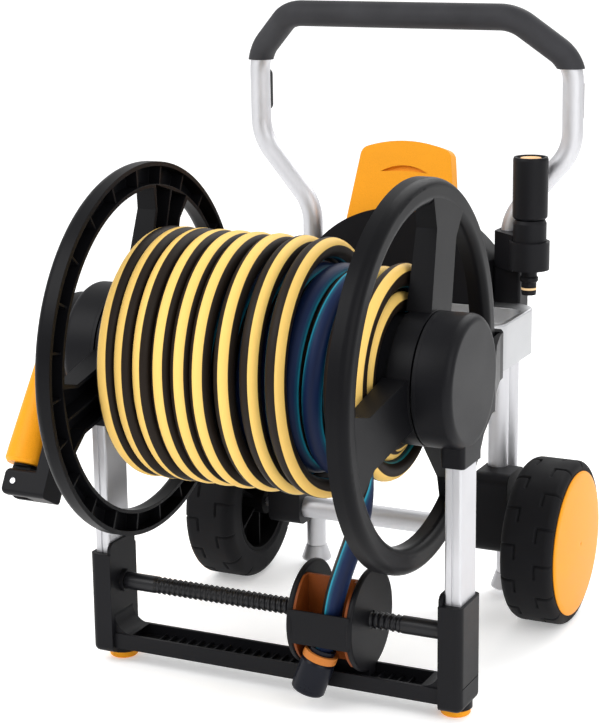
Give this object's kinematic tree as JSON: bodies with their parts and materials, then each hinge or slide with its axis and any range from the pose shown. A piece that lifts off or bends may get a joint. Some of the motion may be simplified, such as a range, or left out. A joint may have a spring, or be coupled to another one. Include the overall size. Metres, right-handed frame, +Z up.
{
  "type": "garden hose reel cart",
  "caption": "Wheeled garden hose reel cart with crank, level-wind hose guide, pull-up handle, rear tray, release lever and spray nozzle in its holder.",
  "frame": {"origin": "bottom centre of the box round the whole cart, on the floor", "axes": "+X along the reel axle away from the crank, +Y from the reel to the wheels and the handle, +Z up"},
  "size_m": [0.5554, 0.628, 0.7407],
  "materials": {
    "black_plastic": "fine moulded texture",
    "orange_plastic": "satin moulding",
    "aluminium": "anodised satin",
    "steel": "zinc plated",
    "rubber": "matt",
    "seal": "matt",
    "tyre": "moulded tread",
    "hose": "striped garden hose",
    "bearing_plastic": "acetal"
  },
  "bodies": {
    "frame": {"front_legs": "aluminium", "shoes": "black_plastic", "foot_pads": "orange_plastic", "base_beam": "black_plastic", "hub_cover_right": "black_plastic", "hub_cover_left": "black_plastic", "bearing_plates": "black_plastic", "bushes": "bearing_plastic", "frame_fasteners": "steel", "swivel_housing": "black_plastic", "swivel_seals": "rubber", "inlet_nipple": "black_plastic", "drive_belt": "rubber", "tray": "aluminium", "rear_legs": "aluminium", "axle_brackets": "black_plastic", "axle_tube": "aluminium", "axle_rod": "steel", "bridge_body": "black_plastic", "lever_pin": "steel", "lever_spring": "steel", "handle_guides": "black_plastic", "nozzle_holder": "black_plastic"},
    "reel": {"reel_wheel_right": "black_plastic", "reel_wheel_left": "black_plastic", "drum": "black_plastic", "reel_axle": "steel", "drum_elbow": "black_plastic", "wound_hose": "hose", "drive_pulley": "black_plastic", "crank_arm": "black_plastic", "crank_fasteners": "steel"},
    "crank_pivot": {"grip_pivot": "black_plastic"},
    "grip": {"crank_grip": "orange_plastic"},
    "screw": {"guide_screw": "black_plastic", "driven_pulley": "black_plastic"},
    "carriage": {"carriage_body": "black_plastic", "hose_guide_liner": "orange_plastic", "screw_follower": "bearing_plastic", "hose_lead": "hose", "hose_connector": "black_plastic"},
    "collar": {"connector_collar": "orange_plastic"},
    "wheel_right": {"tyre_right": "tyre", "wheel_rim_right": "black_plastic", "wheel_cap_right": "orange_plastic"},
    "wheel_left": {"tyre_left": "tyre", "wheel_rim_left": "black_plastic", "wheel_cap_left": "orange_plastic"},
    "handle": {"handle_tube": "aluminium", "handle_grip": "rubber", "rest_pads": "black_plastic", "tube_end_fittings": "aluminium"},
    "lever": {"release_lever": "orange_plastic"},
    "lock_right": {"lock_pin_right": "steel"},
    "lock_left": {"lock_pin_left": "steel"},
    "nozzle": {"nozzle_tail": "black_plastic", "nozzle_seal": "seal", "nozzle_barrel": "black_plastic", "spray_plate": "orange_plastic"},
    "nozzle_twist": {"nozzle_sleeve": "black_plastic"}
  },
  "joints": [
    {"name": "reel_spin", "type": "hinge", "parent": "frame", "child": "reel", "pos_m": [0.02825, -0.104, 0.375], "axis": [1, 0, 0], "continuous": true},
    {"name": "crank_fold", "type": "hinge", "parent": "reel", "child": "crank_pivot", "pos_m": [-0.25275, -0.1887, 0.2253], "axis": [0, -0.8704, 0.4924], "range_deg": [0, 90]},
    {"name": "grip_spin", "type": "hinge", "parent": "crank_pivot", "child": "grip", "pos_m": [-0.25275, -0.15324, 0.28796], "axis": [0, 0.4924, 0.8704], "continuous": true},
    {"name": "screw_spin", "type": "hinge", "parent": "frame", "child": "screw", "pos_m": [0.02825, -0.104, 0.095], "axis": [1, 0, 0], "continuous": true},
    {"name": "carriage_slide", "type": "slide", "parent": "frame", "child": "carriage", "axis": [1, 0, 0], "range_m": [-0.2, 0.062], "deforming": ["hose_lead"]},
    {"name": "collar_push", "type": "slide", "parent": "carriage", "child": "collar", "axis": [0.309, 0.14, 0.9407], "range_m": [0, 0.0025], "stiffness_N_per_m": 400},
    {"name": "wheel_right_spin", "type": "hinge", "parent": "frame", "child": "wheel_right", "pos_m": [0.23925, 0.214, 0.1], "axis": [1, 0, 0], "continuous": true},
    {"name": "wheel_left_spin", "type": "hinge", "parent": "frame", "child": "wheel_left", "pos_m": [-0.18275, 0.214, 0.1], "axis": [1, 0, 0], "continuous": true},
    {"name": "handle_slide", "type": "slide", "parent": "frame", "child": "handle", "axis": [0, 0, 1], "range_m": [0, 0.25]},
    {"name": "lever_press", "type": "hinge", "parent": "frame", "child": "lever", "pos_m": [0.02825, 0.248, 0.452], "axis": [-1, 0, 0], "range_deg": [0, 12], "stiffness_Nm_per_rad": 1.5, "springref_deg": -5.73},
    {"name": "lock_right_slide", "type": "slide", "parent": "frame", "child": "lock_right", "axis": [-1, 0, 0], "range_m": [0, 0.005]},
    {"name": "lock_left_slide", "type": "slide", "parent": "frame", "child": "lock_left", "axis": [1, 0, 0], "range_m": [0, 0.005]},
    {"name": "nozzle_lift", "type": "slide", "parent": "frame", "child": "nozzle", "axis": [0, 0, 1], "range_m": [0, 0.1]},
    {"name": "sleeve_twist", "type": "hinge", "parent": "nozzle", "child": "nozzle_twist", "pos_m": [0.19825, 0.239, 0.52], "axis": [0, 0, 1], "range_deg": [0, 120]}
  ],
  "couplings": [
    {"joint": "screw_spin", "follows": "reel_spin", "ratio": 1},
    {"joint": "lock_right_slide", "follows": "lever_press", "m_per_rad": 0.021486},
    {"joint": "lock_left_slide", "follows": "lever_press", "m_per_rad": 0.021486}
  ]
}
